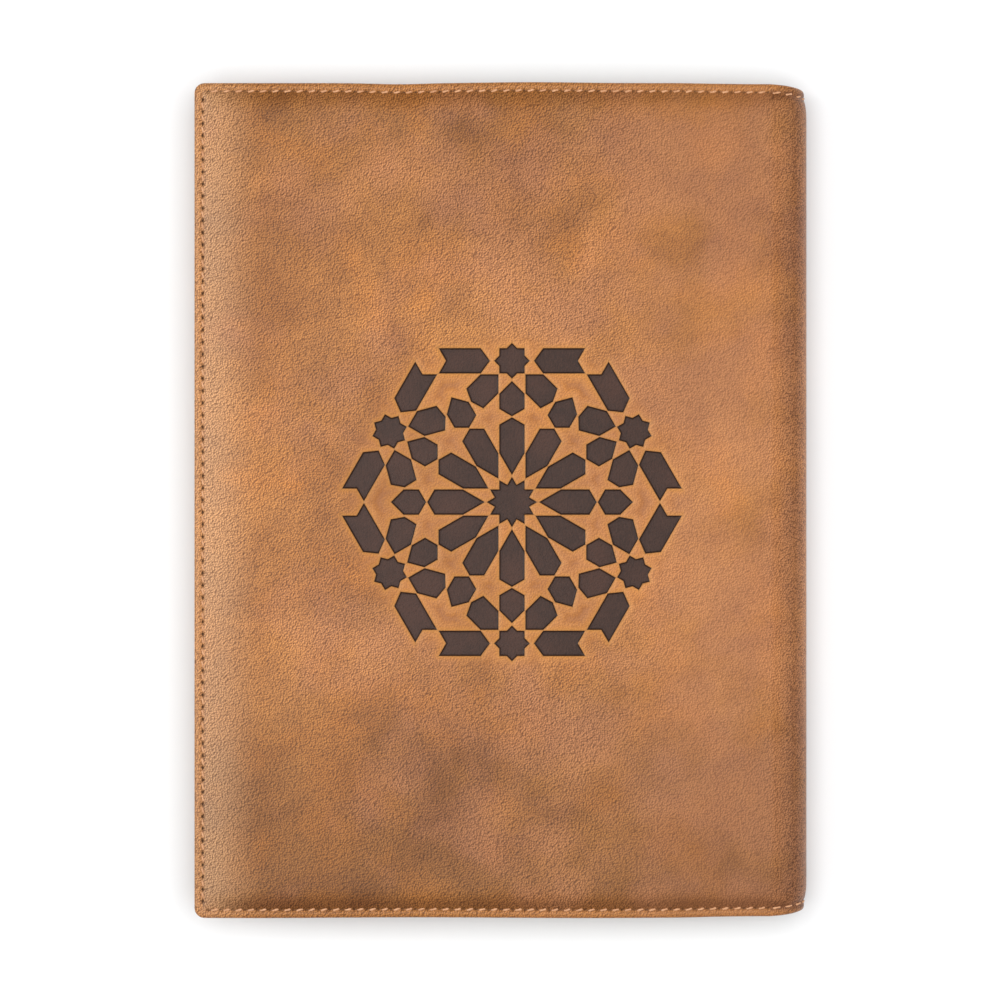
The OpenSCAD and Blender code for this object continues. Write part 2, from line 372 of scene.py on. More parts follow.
def rosette_grid():
    """Fine points over the rosette: none right beside a shape's edge, and few far from one."""
    f = np.arange(-REACH, REACH + 0.01, 0.62)
    fine = np.array([(x, y + (0.31 if i % 2 else 0)) for i, x in enumerate(f) for y in f]) + ROSETTE
    fine = fine[np.hypot(*(fine - ROSETTE).T) < REACH - 0.7]
    d = shape_distance(fine)
    return fine[((d > 0.6) & (d < 3)) | (d < -0.75) | ((d >= 3) & (np.arange(len(d)) % 5 == 0))]


def pressed_lines(count):
    """Points and edges along each shape's outline and inside it, after count other points."""
    points, edges = [], []
    for shape in SHAPES:
        for inset in (0, 0.07, 0.2, 0.5):
            ring = shrunk(shape, inset)
            line = []
            for a, b in zip(ring, np.roll(ring, -1, 0)):
                n = max(1, round(np.linalg.norm(b - a) / 0.9))
                line += [a + (b - a) * i / n for i in range(n)]
            points.append(np.array(line))
            edges += [(count + i, count + (i + 1) % len(line)) for i in range(len(line))]
            count += len(line)
    return points, edges


def shoulder_points():
    """Points just outside each shape, where the leather rounds down into it."""
    points = []
    for out in (0.14, 0.36):
        for shape in SHAPES:
            ring = shrunk(shape, -out)
            for a, b in zip(ring, np.roll(ring, -1, 0)):
                n = max(1, round(np.linalg.norm(b - a) / 0.7))
                line = np.array([a + (b - a) * (i + 0.5) / n for i in range(n)])
                keep = np.abs(shape_distance(line) - out) < 0.04
                if keep.any():
                    points.append(line[keep])
    return points


def panel_mesh(outline, pressed):
    """Plan of a panel as points and triangles, finer at the seam, the needle holes and the rosette."""
    seam = np.array([(TANGENT_X, y) for y in YS[::-1][1:-1]])
    loop = np.concatenate([outline, seam])
    points, edges = [loop], []
    points += [path(e, 0.55 if 1.5 < e < 3 else 1.0, TANGENT_X)[1:-1] for e in ROWS[1:]]
    gx = np.arange(-HALF_W + GRID_INSET, TANGENT_X - 1, 2.0)
    gy = np.linspace(-(HALF_H - GRID_INSET), HALF_H - GRID_INSET, 103)
    grid = np.array([(x, y) for x in gx for y in gy])
    if pressed:
        grid = grid[np.hypot(*(grid - ROSETTE).T) > REACH]
        points.append(rosette_grid())
    points.append(grid)
    for r, n in ((0, 1), (0.2, 6), (0.45, 8), (0.8, 8)):
        a = np.arange(n) * 2 * math.pi / n
        ring = np.stack([r * np.cos(a), r * np.sin(a)], 1)
        points.append((HOLES[:, None] + ring[None]).reshape(-1, 2))
    if pressed:
        lines, edges = pressed_lines(sum(len(p) for p in points))
        points += lines + shoulder_points()
    flat = [Vector(p) for p in np.concatenate(points).tolist()]
    found, _, triangles, *_ = delaunay_2d_cdt(flat, edges, [list(range(len(loop)))], 1, 1e-5)
    return np.array([(v[0], v[1]) for v in found]), [list(t) for t in triangles]


def turned_edge(outline, base):
    """The leather's edge turned round the board: points, and faces that start at point base."""
    away = np.roll(outline, -1, 0) - np.roll(outline, 1, 0)
    away[0], away[-1] = (-1, 0), (1, 0)
    away /= np.linalg.norm(away, axis=1)[:, None]
    inward = np.stack([away[:, 1], -away[:, 0]], 1)
    top = T - panel_depth(outline[:, 0], outline[:, 1])
    under = T - PLATE
    rings, faces = [], []
    for e, share in ((0, 0), (0.0, 0.35), (0.1, 0.75), (0.3, 0.96), (0.7, 1.0), (3.0, 1.0)):
        rings.append(np.column_stack([outline + inward * e, top + (under - top) * share]))
    n = len(outline)
    for k in range(len(rings) - 1):
        for i in range(n - 1):
            a = base + k * n + i
            faces.append([a, a + n, a + n + 1, a + 1])
    return rings, faces


def outer_panel(pressed):
    """Points, faces and paint values of one cover's leather, in the front cover's place."""
    outline = path(0, 0.8, TANGENT_X)
    xy, faces = panel_mesh(outline, pressed)
    x, y = xy[:, 0], xy[:, 1]
    dist = shape_distance(xy) if pressed else np.full(len(xy), 9.0)
    hole = hole_depth(x, y)
    z = T - panel_depth(x, y) - 0.35 * hole
    within = 1 - smooth((np.hypot(*(xy - ROSETTE).T) - 40) / 5)
    dimple = within * smooth((dist - 1.7) / 1.2)
    if pressed:
        z -= press_depth(dist) + 0.12 * dimple
    rings, edge_faces = turned_edge(outline, len(xy))
    verts = np.concatenate([np.column_stack([x, y, z])] + rings)

    def top_only(values):              # nothing on the turned edge
        return np.concatenate([values, np.zeros(len(verts) - len(xy))])

    e = edge_distance(verts[:, 0], verts[:, 1])
    clear = np.maximum(dist, 0)
    beyond_corner = smooth((verts[:, 0] + HALF_W - 4) / 10)
    at_head = verts[:, 1] > 0
    values = {
        "pressed": top_only(np.where(dist > -0.035, 0.0, 1.0)),
        "hole": top_only(hole),
        "rim": rim_of(e),
        # painted shade just inside the seam at head and tail, where the leather slopes away from the light;
        # weaker at the head
        "painted_shade": painted_shade_at(HALF_H - np.abs(verts[:, 1])) * beyond_corner * np.where(at_head, 0.35, 0.8),
    }
    if pressed:
        # scorch of the press and painted shade: dark just inside each shape's wall, and a thin dark line
        # just outside it
        scorch_and_shade, outer_burn_and_shade = np.exp(np.minimum(dist + 0.2, 0) / 0.26), 0.55 * np.exp(-clear / 0.1)
        values.update({
            "burn_and_shade": top_only(np.where(dist < -0.02, scorch_and_shade, outer_burn_and_shade)),
            # painted highlight along the raised leather beside each shape's edge
            "ridge_highlight": top_only(np.exp(-clear / 0.5)),
            "taut": top_only(np.maximum(within, np.exp(-clear / 1.4))),
            "dimple": top_only(dimple),
        })
    return verts, faces + edge_faces, values


def rim_of(e):
    """From 1 outside the stitches to 0 inside them, at distance e from the edge."""
    return 1 - smooth((e - 1.6) / 1.2)


def painted_shade_at(e):
    """1 in the painted shade just inside the seam at head and tail, where the leather slopes away from the
    light.
    """
    return bell(e, 3.6, 1.6) * (e > 2)


def add_attributes(obj, values):
    for key, v in values.items():
        attribute = obj.data.attributes.new(key, "FLOAT", "POINT")
        attribute.data.foreach_set("value", np.asarray(v, np.float32))


# ---------- stitches ----------
def stitches(middles, along, up, length=2.45, radius=0.27, slant=9.0, sections=9, sides=8):
    """Short slanted two-ply stitches whose ends dip into the needle holes.

    sections is the number of rings along a stitch, and sides the number of points in each.
    """
    verts, faces = [], []
    side = np.cross(up, along)
    for k in range(len(middles)):
        turn = math.radians(slant + rng.normal(0, 1.5))
        d = along[k] * math.cos(turn) + side[k] * math.sin(turn)
        s = np.cross(up[k], d)
        half = length / 2 * (1 + rng.normal(0, 0.02))
        twist = rng.uniform(0, math.pi)
        base = len(verts)
        for i in range(sections):
            t = -1 + 2 * i / (sections - 1)
            lift = radius * (0.62 - 1.75 * abs(t) ** 5)
            centre = middles[k] + d * half * t + up[k] * lift
            r = radius * (1 - 0.1 * t * t) * (0.55 if abs(t) == 1 else 1)
            for j in range(sides):
                a = 2 * math.pi * j / sides
                rr = r * (1 + 0.2 * math.cos(2 * (a - twist - 2.6 * t)))
                verts.append(centre + s * rr * math.cos(a) + up[k] * rr * 0.8 * math.sin(a))
        for i in range(sections - 1):
            for j in range(sides):
                a, b = base + i * sides + j, base + i * sides + (j + 1) % sides
                faces.append([a, b, b + sides, a + sides])
        faces.append([base + j for j in reversed(range(sides))])
        faces.append([base + (sections - 1) * sides + j for j in range(sides)])
    return np.array(verts), faces


def panel_stitches(depth, keep=None, outwards=True, **kw):
    """Stitches of the front cover's border, at depths below its outer face."""
    p = PLACES if keep is None else PLACES[keep]
    depths = np.broadcast_to(depth, len(p))
    middles = np.column_stack([p[:, :2], T - depths])
    along = np.column_stack([p[:, 2:], np.zeros(len(p))])
    up = np.tile([0, 0, 1.0 if outwards else -1.0], (len(p), 1))
    return stitches(middles, along, up, **kw)


# ---------- spine ----------
STRIP = 45                            # degrees of the spine that one piece covers
SPINE_LINING = 1.65                   # from the full radius to the lining's face


def place(t, radius, y):
    """A point of the spine, t degrees round it from the back.

    Before 0 or after 180, the rest of t is the way along a panel in mm.
    """
    t, radius, y = np.broadcast_arrays(*(np.asarray(v, float) for v in (t, radius, y)))
    a = np.radians(np.clip(t, 0, 180))
    along = np.minimum(t, 0) - np.maximum(t - 180, 0)
    return np.stack([TANGENT_X + along + radius * np.sin(a), y, SPINE_R - radius * np.cos(a)], -1)


def from_ends(t):
    """0 at either panel, 1 well round the spine."""
    t = np.clip(t, 0, 180)
    return smooth(np.minimum(t, 180 - t) / 34.0)


def lining_radius(t):
    """Radius of the lining's face: LINING in at a panel, and SPINE_LINING well round the spine."""
    return (SPINE_R - LINING) + (LINING - SPINE_LINING) * from_ends(t)


def spine_pull(points):
    """The draw-in of pull_in, the same on the front and back halves, with no wave."""
    return pull_in(points, True)


def bend_over_fold(obj):
    """Bake the piece's transform into its mesh."""
    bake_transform(obj)


def tube(loops):
    """Skin over closed loops of the same number of points, open at both ends."""
    n = len(loops[0])
    verts = np.concatenate(loops)
    faces = []
    for k in range(len(loops) - 1):
        for i in range(n):
            j = (i + 1) % n
            faces.append([k * n + i, k * n + j, (k + 1) * n + j, (k + 1) * n + i])
    return verts, faces


def cover_loop(t):
    """Section of leather and lining at angle t: the outside from tail to head, then the inside back."""
    outside = place(t, SPINE_R - spine_depth(t, YS), YS)
    inner = lining_radius(t)
    rim = SPINE_R - spine_depth(t, HALF_H)
    head = [(HALF_H, rim * 0.6 + inner * 0.4), (HALF_H - 0.15, rim * 0.2 + inner * 0.8)]
    head += [(HALF_H - e, inner) for e in (0.5, 1.2, 1.9, INSET, 2.6, 4.0)]
    middle = list(np.linspace(HALF_H - 12, -(HALF_H - 12), 20))
    ys = [y for y, _ in head] + middle + [-y for y, _ in reversed(head)]
    rs = [r for _, r in head] + [inner] * len(middle) + [r for _, r in reversed(head)]
    return spine_pull(np.concatenate([outside, place(t, np.array(rs), np.array(ys))]))


def join_sets(name, sets, material, stands_for=(), body=None):
    """One object from several sets of points and faces."""
    verts, faces, count = [], [], 0
    for v, f in sets:
        verts.append(v)
        faces += [[i + count for i in face] for face in f]
        count += len(v)
    return make(name, np.concatenate(verts), faces, body, material, stands_for)


def spine_cover(k, name, stands_for, leather, lining):
    """Leather and lining of one piece of the spine, in one skin with two materials."""
    verts, faces = tube([cover_loop(t) for t in np.linspace(STRIP * k, STRIP * k + STRIP, 16)])
    piece = make(name, verts, faces, None, leather, stands_for)
    weld(piece, 0.0005)
    piece.data.materials.append(lining)
    middle = np.array([p.center for p in piece.data.polygons]) / MM
    across, up = middle[:, 0] - TANGENT_X, SPINE_R - middle[:, 2]
    limit = lining_radius(np.degrees(np.arctan2(across, up))) + 0.06
    inside = (np.hypot(across, up) < limit) & (np.abs(middle[:, 1]) < HALF_H - 1.5)
    piece.data.polygons.foreach_set("material_index", inside.astype(np.int32))
    at = np.array([v.co for v in piece.data.vertices]) / MM
    angle = np.degrees(np.arctan2(at[:, 0] - TANGENT_X, SPINE_R - at[:, 2]))
    turn = np.minimum(angle, 180 - angle)
    # painted shade on the spine where it turns away from the light, part way round from each panel, joined
    # with the painted shade inside the seams
    bend = smooth(turn / 42) * (1 - smooth((turn - 46) / 26))
    ends = HALF_H - np.abs(at[:, 1])
    add_attributes(piece, {"rim": rim_of(ends), "painted_shade": np.maximum(painted_shade_at(ends), 0.6 * bend)})
    bend_over_fold(piece)


def spine_thread(k, name, stands_for, thread):
    """Stitches outside and inside, at head and tail."""
    def leather_radius(t):
        return SPINE_R - spine_border(t) - 0.16

    sets = []
    t = np.array([STRIP * k + STRIP * (i + 0.5) / 2 for i in range(2)])
    a = np.radians(t)
    along = np.column_stack([np.cos(a), 0 * a, np.sin(a)])
    for radius_of, out, size, length in ((leather_radius, 1, 0.25, 2.3), (lining_radius, -1, 0.24, 2.0)):
        up = np.column_stack([np.sin(a), 0 * a, -np.cos(a)]) * out
        for side in (-1, 1):
            middles = spine_pull(place(t, radius_of(t), side * (HALF_H - INSET)))
            sets.append(stitches(middles, along, up, radius=size, length=length))
    run = join_sets(name, sets, thread, stands_for)
    bend_over_fold(run)


def notebook_spine(k, name, stands_for, cloth):
    """The notebook's own case inside the spine, thicker where its card strip is."""
    angles = list(np.linspace(STRIP * k, STRIP * k + STRIP, 16))
    if k == 0:
        angles = [-2.35, -1.2] + angles
    if k == 3:
        angles = angles + [181.2, 182.35]
    h = HALF_BOOK
    ys = np.array([-h + 0.25, -h + 1, 0, h - 1, h - 0.25, h, h - 0.25, h - 1, 0, -h + 1, -h + 0.25, -h])
    loops = []
    for t in angles:
        outer = lining_radius(t) - 0.14
        card = smooth((38 - abs(np.clip(t, 0, 180) - 90)) / 10)
        inner = outer - 0.42 - 0.85 * card
        edge = [(outer + inner) / 2]
        loops.append(place(t, np.array([outer] * 5 + edge + [inner] * 5 + edge), ys))
    verts, faces = tube(loops)
    n = len(ys)
    faces += [list(range(n))[::-1], [len(verts) - n + i for i in range(n)]]
    case = make(name, verts, faces, None, cloth, stands_for)
    weld(case, 0.0005)
    bend_over_fold(case)


def build_spine(leather, lining, thread, cloth):
    """Four pieces of each layer, one over each fold, and the CAD nodes that they stand for."""
    strips = [[end] for end in ("back", "middle", "front")] + [[]]
    cases = [["groove_back", "joint_back"], ["spine_strip"], ["joint_front"], ["groove_front"]]
    for k, name in enumerate(("back", "lower", "upper", "front")):
        skins = [f"spine_{layer}_{end}" for end in strips[k] for layer in ("leather", "lining")]
        spine_cover(k, f"spine_cover_{name}", skins, leather, lining)
        spine_thread(k, f"spine_thread_run_{name}", [f"spine_thread_{end}" for end in strips[k]], thread)
        notebook_spine(k, f"notebook_spine_{name}", [f"notebook_{part}" for part in cases[k]], cloth)


# ---------- panels, sleeves, linings ----------
def lining_plate():
    """Lining of one panel in the front cover's place: a thin sheet whose sewn edges are pressed round."""
    open_part = path(LINING_INSET, 2.0, TANGENT_X)
    n, y0 = len(open_part), open_part[-1, 1]
    base = np.concatenate([open_part, [(TANGENT_X, y0 - 2 * y0 * i / 20) for i in range(1, 20)]])
    away = np.roll(base, -1, 0) - np.roll(base, 1, 0)
    away /= np.linalg.norm(away, axis=1)[:, None]
    inward = np.stack([-away[:, 1], away[:, 0]], 1)
    inward[0], inward[n - 1] = (0, 1), (0, -1)
    inward[n:] = 0                    # the spine end stays straight
    inward[(inward * -np.sign(base)).sum(1) < 0] *= -1
    rows = (
        (3.0, PLATE), (0.3, PLATE + 0.01), (0, PLATE + 0.15), (0.05, PLATE + 0.3),
        (0.35, LINING - 0.01), (0.9, LINING), (1.25, LINING), (1.6, LINING), (5.0, LINING))
    loops = [np.column_stack([base + inward * e, np.full(len(base), T - d)]) for e, d in rows]
    verts, faces = tube(loops)
    m = len(base)
    faces += [list(range(m)), [len(verts) - m + i for i in range(m)][::-1]]
    return verts, faces


def sleeve_depth(x, y):
    """Depth of the sleeve's face towards the notebook, below the cover's outer face."""
    e = edge_distance(x, y)
    height = smooth((e - 2.9) / 2.3)
    mouth = smooth((x - (MOUTH - 9)) / 9)
    bow = 0.14 * mouth * np.cos(y / HALF_H * math.pi / 2)
    puff = 0.05 * np.sin(x / 9.0) * np.sin(y / 16.0)
    full = SLEEVE_HIGH - 0.16 - SLEEVE_LOW + (bow + puff) * 0.9
    return SLEEVE_LOW + full * height - 0.1 * bell(e, INSET, 0.5)


def sleeve():
    """The sleeve's face and underside, closed round its edge, in the front cover's place."""
    ends = np.array([0, 0.2, 0.5, 0.9, 1.4, 1.8, 2.3, 2.9, 3.6, 4.4, 5.5])
    xs = -HALF_W + LINING_INSET + ends
    hem = MOUTH - np.array([1.7, 1.2, 0.8, 0.4, 0.15, 0])
    xs = np.concatenate([xs, np.linspace(xs[-1] + 2, MOUTH - 2.5, 26), hem])
    y0 = HALF_H - LINING_INSET
    ys = np.concatenate([-y0 + ends, np.linspace(-y0 + 7.5, y0 - 7.5, 90), (y0 - ends)[::-1]])
    gx, gy = np.meshgrid(xs, ys, indexing="ij")
    # round the two free corners
    cx, cy = CORNER - (gx + HALF_W), CORNER - (HALF_H - np.abs(gy))
    both = (cx > 0) & (cy > 0)
    scale = np.where(both, np.maximum(cx, cy) / np.maximum(np.hypot(cx, cy), 1e-9), 1)
    gx = np.where(both, -HALF_W + CORNER - cx * scale, gx)
    gy = np.where(both, np.sign(gy) * (HALF_H - CORNER + cy * scale), gy)
    face = sleeve_depth(gx, gy)
    turn = 0.3 * bell(gx, MOUTH, 0.25) + 0.06 * bell(gx, MOUTH - 4.6, 0.4)
    face = face - turn
    under = np.maximum(sleeve_depth(gx, gy) - 0.85 + 0.2 * bell(gx, MOUTH, 0.25), LINING + 0.02)
    edge = 0.25 * np.exp(-np.maximum(edge_distance(gx, gy) - LINING_INSET, 0) / 0.15)
    face = face - edge
    a, b = gx.shape
    verts = np.concatenate([
        np.column_stack([gx.ravel(), gy.ravel(), (T - d).ravel()]) for d in (face, under)])
    faces = []
    for i in range(a - 1):
        for j in range(b - 1):
            v = i * b + j
            faces.append([v, v + 1, v + b + 1, v + b])
            w = v + a * b
            faces.append([w, w + b, w + b + 1, w + 1])
    around = [i * b for i in range(a)] + [(a - 1) * b + j for j in range(1, b)]
    around += [i * b + b - 1 for i in range(a - 2, -1, -1)] + list(range(b - 2, 0, -1))
    for p, q in zip(around, around[1:] + around[:1]):
        faces.append([p, q, q + a * b, p + a * b])
    return verts, faces


def both_panels(leather, lining, sleeve_leather, thread):
    """Leather, lining, sleeve and stitching of the two covers."""
    for side, body, front in (("front", "front_cover", True), ("back", "back_cover", False)):
        def settle(points):
            p = pull_in(points, front)
            return p if front else flip(p)

        verts, faces, values = outer_panel(front)
        if not front:
            faces = [f[::-1] for f in faces]
        panel = make(
            f"{side}_cover_leather", settle(verts), faces, body, leather, [f"{side}_leather"])
        add_attributes(panel, values)
        weld(panel)

        verts, faces = lining_plate()
        piece = make(
            f"{side}_cover_lining", settle(verts), faces, body, lining, [f"{side}_lining"])
        weld(piece, 0.0005)
        verts, faces = sleeve()
        piece = make(
            f"{side}_pocket", settle(verts), faces, body, sleeve_leather, [f"{side}_sleeve"])
        weld(piece, 0.0005)

        v, f = panel_stitches(BORDER + 0.17, radius=0.26, length=1.95, slant=15)
        make(f"{side}_seam_thread", settle(v), f, body, thread, [f"{side}_top_thread"])
        depth = np.where(PLACES[:, 0] < MOUTH, SLEEVE_LOW - 0.12, LINING)
        keep = np.abs(PLACES[:, 0] - MOUTH) > 1.2      # none across the sleeve's hem
        v, f = panel_stitches(
            depth[keep], keep=keep, outwards=False, radius=0.24, length=2.4, sections=7, sides=6)
        make(f"{side}_bobbin_run", settle(v), f, body, thread, [f"{side}_bobbin_thread"])


# ---------- pages ----------
LEAVES, SLICES = 10, 14                # folded sheets in a gathering, and pieces of a sheet along Y


def pages(paper):
    """Each gathering is a stack of folded sheets, its leaves' edges a little uneven."""
    for g in range(1, 7):
        low, high = box(f"gathering_{g}")
        r = (high[2] - low[2]) / 2
        verts, faces = [], []
        for k in range(LEAVES):
            z0 = low[2] + (high[2] - low[2]) * k / LEAVES
            z1 = low[2] + (high[2] - low[2]) * (k + 1) / LEAVES - 0.012
            mid = (z0 + z1) / 2 - (low[2] + r)
            x1 = high[0] - r + math.sqrt(max(r * r - mid * mid, 0.02))
            x0 = low[0] + rng.uniform(0, 0.22) + 0.18 * (1 - abs(mid) / r)
            y0, y1 = low[1] + rng.uniform(0, 0.12), high[1] - rng.uniform(0, 0.12)
            base = len(verts)
            for i in range(SLICES + 1):
                y = y0 + (y1 - y0) * i / SLICES
                wave = 0.05 * math.sin(i * 1.7 + g + k * 0.6)
                soft = 0.6 if i in (0, SLICES) else 0.0
                x = x0 + wave + soft
                verts += [(x, y, z0), (x, y, z1), (x1 - 1, y, z1), (x1, y, (z0 + z1) / 2), (x1 - 1, y, z0)]
            for i in range(SLICES):
                for j in range(5):
                    a, b = base + i * 5 + j, base + i * 5 + (j + 1) % 5
                    faces.append([a, b, b + 5, a + 5])
            faces.append([base + j for j in reversed(range(5))])
            faces.append([base + SLICES * 5 + j for j in range(5)])
        stack = make(f"leaves_{g}", verts, faces, "back_cover", paper, [f"gathering_{g}"])
        stack.data.shade_flat()


# ---------- materials ----------
def linear(r, g, b):
    """Linear colour from 0 to 255 display values."""
    out = []
    for c in (r, g, b):
        c /= 255
        out.append(c / 12.92 if c <= 0.04045 else ((c + 0.055) / 1.055) ** 2.4)
    return (*out, 1.0)


class Shader:
    """A short way to write a node material."""

    def __init__(self, name, roughness=0.6, specular=0.4):
        self.material = bpy.data.materials.new(name)
        self.material.use_nodes = True
        self.tree = self.material.node_tree
        self.bsdf = self.tree.nodes["Principled BSDF"]
        self.bsdf.inputs["Roughness"].default_value = roughness
        self.bsdf.inputs["Specular IOR Level"].default_value = specular
        self.place = self.node("ShaderNodeTexCoord").outputs["Object"]

    def node(self, kind, inputs=(), **settings):
        n = self.tree.nodes.new(kind)
        for k, v in settings.items():
            setattr(n, k, v)
        for k, v in dict(inputs).items():
            self.feed(n.inputs[k], v)
        return n

    def feed(self, socket, value):
        if isinstance(value, bpy.types.NodeSocket):
            self.tree.links.new(value, socket)
        else:
            socket.default_value = value

    def scaled(self, sx, sy, sz):
        return self.node("ShaderNodeMapping", {"Vector": self.place, "Scale": (sx, sy, sz)}).outputs[0]

    def noise(self, scale, detail=2.0, rough=0.5, where=None, distortion=0.0):
        n = self.node("ShaderNodeTexNoise", {
            "Vector": where or self.place, "Scale": scale, "Detail": detail,
            "Roughness": rough, "Distortion": distortion})
        return n.outputs["Fac"]

    def cells(self, scale, feature="F1", smoothness=None, where=None, randomness=1.0):
        inputs = {"Vector": where or self.place, "Scale": scale, "Randomness": randomness}
        n = self.node("ShaderNodeTexVoronoi", inputs, feature=feature)
        if smoothness is not None:
            n.inputs["Smoothness"].default_value = smoothness
        return n.outputs["Distance"]

    def ramp(self, value, low, high, to_low=0.0, to_high=1.0, kind="LINEAR"):
        limits = {"From Min": low, "From Max": high, "To Min": to_low, "To Max": to_high}
        n = self.node("ShaderNodeMapRange", {"Value": value, **limits}, interpolation_type=kind)
        return n.outputs["Result"]

    def moved(self, x, y, z):
        return self.node("ShaderNodeMapping", {"Vector": self.place, "Location": (x, y, z)}).outputs[0]

    def math(self, operation, a, b=0.0):
        return self.node("ShaderNodeMath", {0: a, 1: b}, operation=operation).outputs[0]

    def mix(self, factor, a, b, blend="MIX"):
        n = self.node("ShaderNodeMix", data_type="RGBA", blend_type=blend)
        self.feed(n.inputs[0], factor)
        self.feed(n.inputs[6], a)
        self.feed(n.inputs[7], b)
        return n.outputs[2]

    def attribute(self, name):
        return self.node("ShaderNodeAttribute", attribute_name=name).outputs["Fac"]

    def bump(self, height, strength, distance, under=None):
        n = self.node("ShaderNodeBump", {"Height": height, "Strength": strength, "Distance": distance * MM})
        if under is not None:
            self.feed(n.inputs["Normal"], under)
        return n.outputs["Normal"]

    def finish(self, colour, normal=None, roughness=None):
        self.feed(self.bsdf.inputs["Base Color"], colour)
        if normal is not None:
            self.feed(self.bsdf.inputs["Normal"], normal)
        if roughness is not None:
            self.feed(self.bsdf.inputs["Roughness"], roughness)
        return self.material


def cover_leather(name, with_marks=True):
    s = Shader(name, roughness=0.5, specular=0.1)
    s.bsdf.inputs["Coat Weight"].default_value = 0.24
    s.bsdf.inputs["Coat Roughness"].default_value = 0.3
    # cloudy pull-up: orange where the leather is stretched, brown where it has darkened
    cloud = s.noise(30, 3.0, 0.5, distortion=0.5)
    patch = s.noise(80, 3.0, 0.55, distortion=0.7)
    tone = s.math("ADD", s.math("MULTIPLY", cloud, 0.6), s.math("MULTIPLY", patch, 0.4))
    colour = s.mix(s.ramp(tone, 0.35, 0.65), linear(142, 82, 34), linear(188, 117, 54))
    warm = s.ramp(s.noise(52, 2.0, 0.5, where=s.moved(0.3, 0.7, 0.1), distortion=0.3), 0.5, 0.72)
    colour = s.mix(s.math("MULTIPLY", warm, 0.5), colour, linear(200, 118, 46))
    grey = s.ramp(s.noise(38, 3.0, 0.6, where=s.moved(1.3, 0.2, 0.5)), 0.52, 0.74)
    colour = s.mix(s.math("MULTIPLY", grey, 0.35), colour, linear(138, 86, 48))
    colour = s.mix(s.ramp(s.noise(260, 2.0, 0.6), 0.3, 0.7, 0.0, 0.2), colour, linear(140, 82, 38))
    # darker towards the tail, and a little at the head
    y = s.node("ShaderNodeSeparateXYZ", {0: s.place}).outputs[1]
    for start, end, least in (
            (-0.035, -0.078, 0.68), (-0.075, -0.105, 0.88), (0.05, 0.075, 0.93), (0.08, 0.105, 0.8)):
        colour = s.mix(1.0, colour, s.ramp(y, start, end, 1.0, least, kind="SMOOTHSTEP"), "MULTIPLY")
    # the sheen of the slope down to the free edge
    x = s.node("ShaderNodeSeparateXYZ", {0: s.place}).outputs[0]
    slope = s.ramp(x, -0.062, -0.078, 0.0, 0.3, kind="SMOOTHSTEP")
    colour = s.mix(slope, colour, linear(224, 172, 122))
    # rosier towards the spine
    drift = s.noise(55, 3.0, 0.5, where=s.moved(0.5, 0.1, 0.9))
    rosy = s.ramp(s.math("ADD", drift, s.math("MULTIPLY", x, 2.0)), 0.42, 0.66)
    colour = s.mix(s.math("MULTIPLY", rosy, 0.34), colour, linear(174, 110, 74))
    # grain: small domed pebbles, darker in the valleys, with painted shade on one flank of each as if lit
    # from one side
    grain, flank = [
        s.math(
            "SUBTRACT", s.math("MULTIPLY", s.noise(3400, 1.0, 0.5, where=at), 0.8), s.cells(2000, where=at))
        for at in (s.moved(0, 0, 0), s.moved(0.00014, -0.0001, 0))]
    relief_shade = s.math("SUBTRACT", grain, flank)
    shade = s.ramp(s.math("ADD", relief_shade, s.math("MULTIPLY", grain, 0.45)), -0.5, 0.42)
    if with_marks:
        colour = s.mix(s.math("MULTIPLY", s.attribute("rim"), 0.5), colour, linear(186, 118, 60))
        # painted shade: inside the head and tail seams, and where the spine turns away from the light
        colour = s.mix(s.math("MULTIPLY", s.attribute("painted_shade"), 0.6), colour, linear(94, 50, 24))
        # the grain's painted relief shade is fainter towards the spine, and on the taut leather of the
        # rosette
        fainter_shade_side = s.math("MULTIPLY", s.ramp(x, 0.02, 0.05, 0.0, 0.4), s.ramp(x, 0.068, 0.076, 1.0, 0.0))
        calm = s.math("MAXIMUM", s.math("MULTIPLY", s.attribute("taut"), 0.35), fainter_shade_side)
        shade = s.node("ShaderNodeMix", {0: calm, 2: shade, 3: 0.5}, data_type="FLOAT").outputs[0]
    # grain tone and painted relief shade multiply the colour
    grain_and_shade = s.mix(shade, (0.3, 0.265, 0.25, 1.0), (1.49, 1.76, 2.2, 1.0))
    colour = s.mix(1.0, colour, grain_and_shade, "MULTIPLY")
    if with_marks:
        colour = s.mix(s.math("MULTIPLY", s.attribute("taut"), 0.3), colour, linear(192, 122, 54))
        # painted highlight on the raised ridges beside the pressed shapes
        colour = s.mix(s.math("MULTIPLY", s.attribute("ridge_highlight"), 0.45), colour, linear(222, 160, 92))
        colour = s.mix(s.math("MULTIPLY", s.attribute("dimple"), 0.5), colour, linear(140, 86, 50))
    normal = s.bump(grain, 0.9, 0.09)
    normal = s.bump(patch, 0.35, 0.25, normal)
    rough = s.ramp(s.math("SUBTRACT", patch, grain), 0.3, 1.2, 0.4, 0.55)
    if with_marks:
        pressed, burn_and_shade, hole = s.attribute("pressed"), s.attribute("burn_and_shade"), s.attribute("hole")
        wood = s.noise(1500, 3.0, 0.6, where=s.scaled(2.2, 0.5, 1.0), distortion=1.0)
        floor = s.mix(s.ramp(wood, 0.3, 0.7), linear(42, 25, 18), linear(64, 40, 30))
        floor = s.mix(s.ramp(s.noise(70, 2.0), 0.4, 0.65, 0.0, 0.5), floor, linear(76, 46, 34))
        # painted relief shade on the pressed floor too
        floor = s.mix(s.ramp(relief_shade, 0.0, 0.3, 0.0, 0.5), floor, linear(34, 20, 14))
        colour = s.mix(pressed, colour, floor)
        # dark edges of the pressed shapes, partly the scorch of the press and partly painted shade
        colour = s.mix(s.math("MULTIPLY", burn_and_shade, 0.8), colour, linear(28, 13, 7))
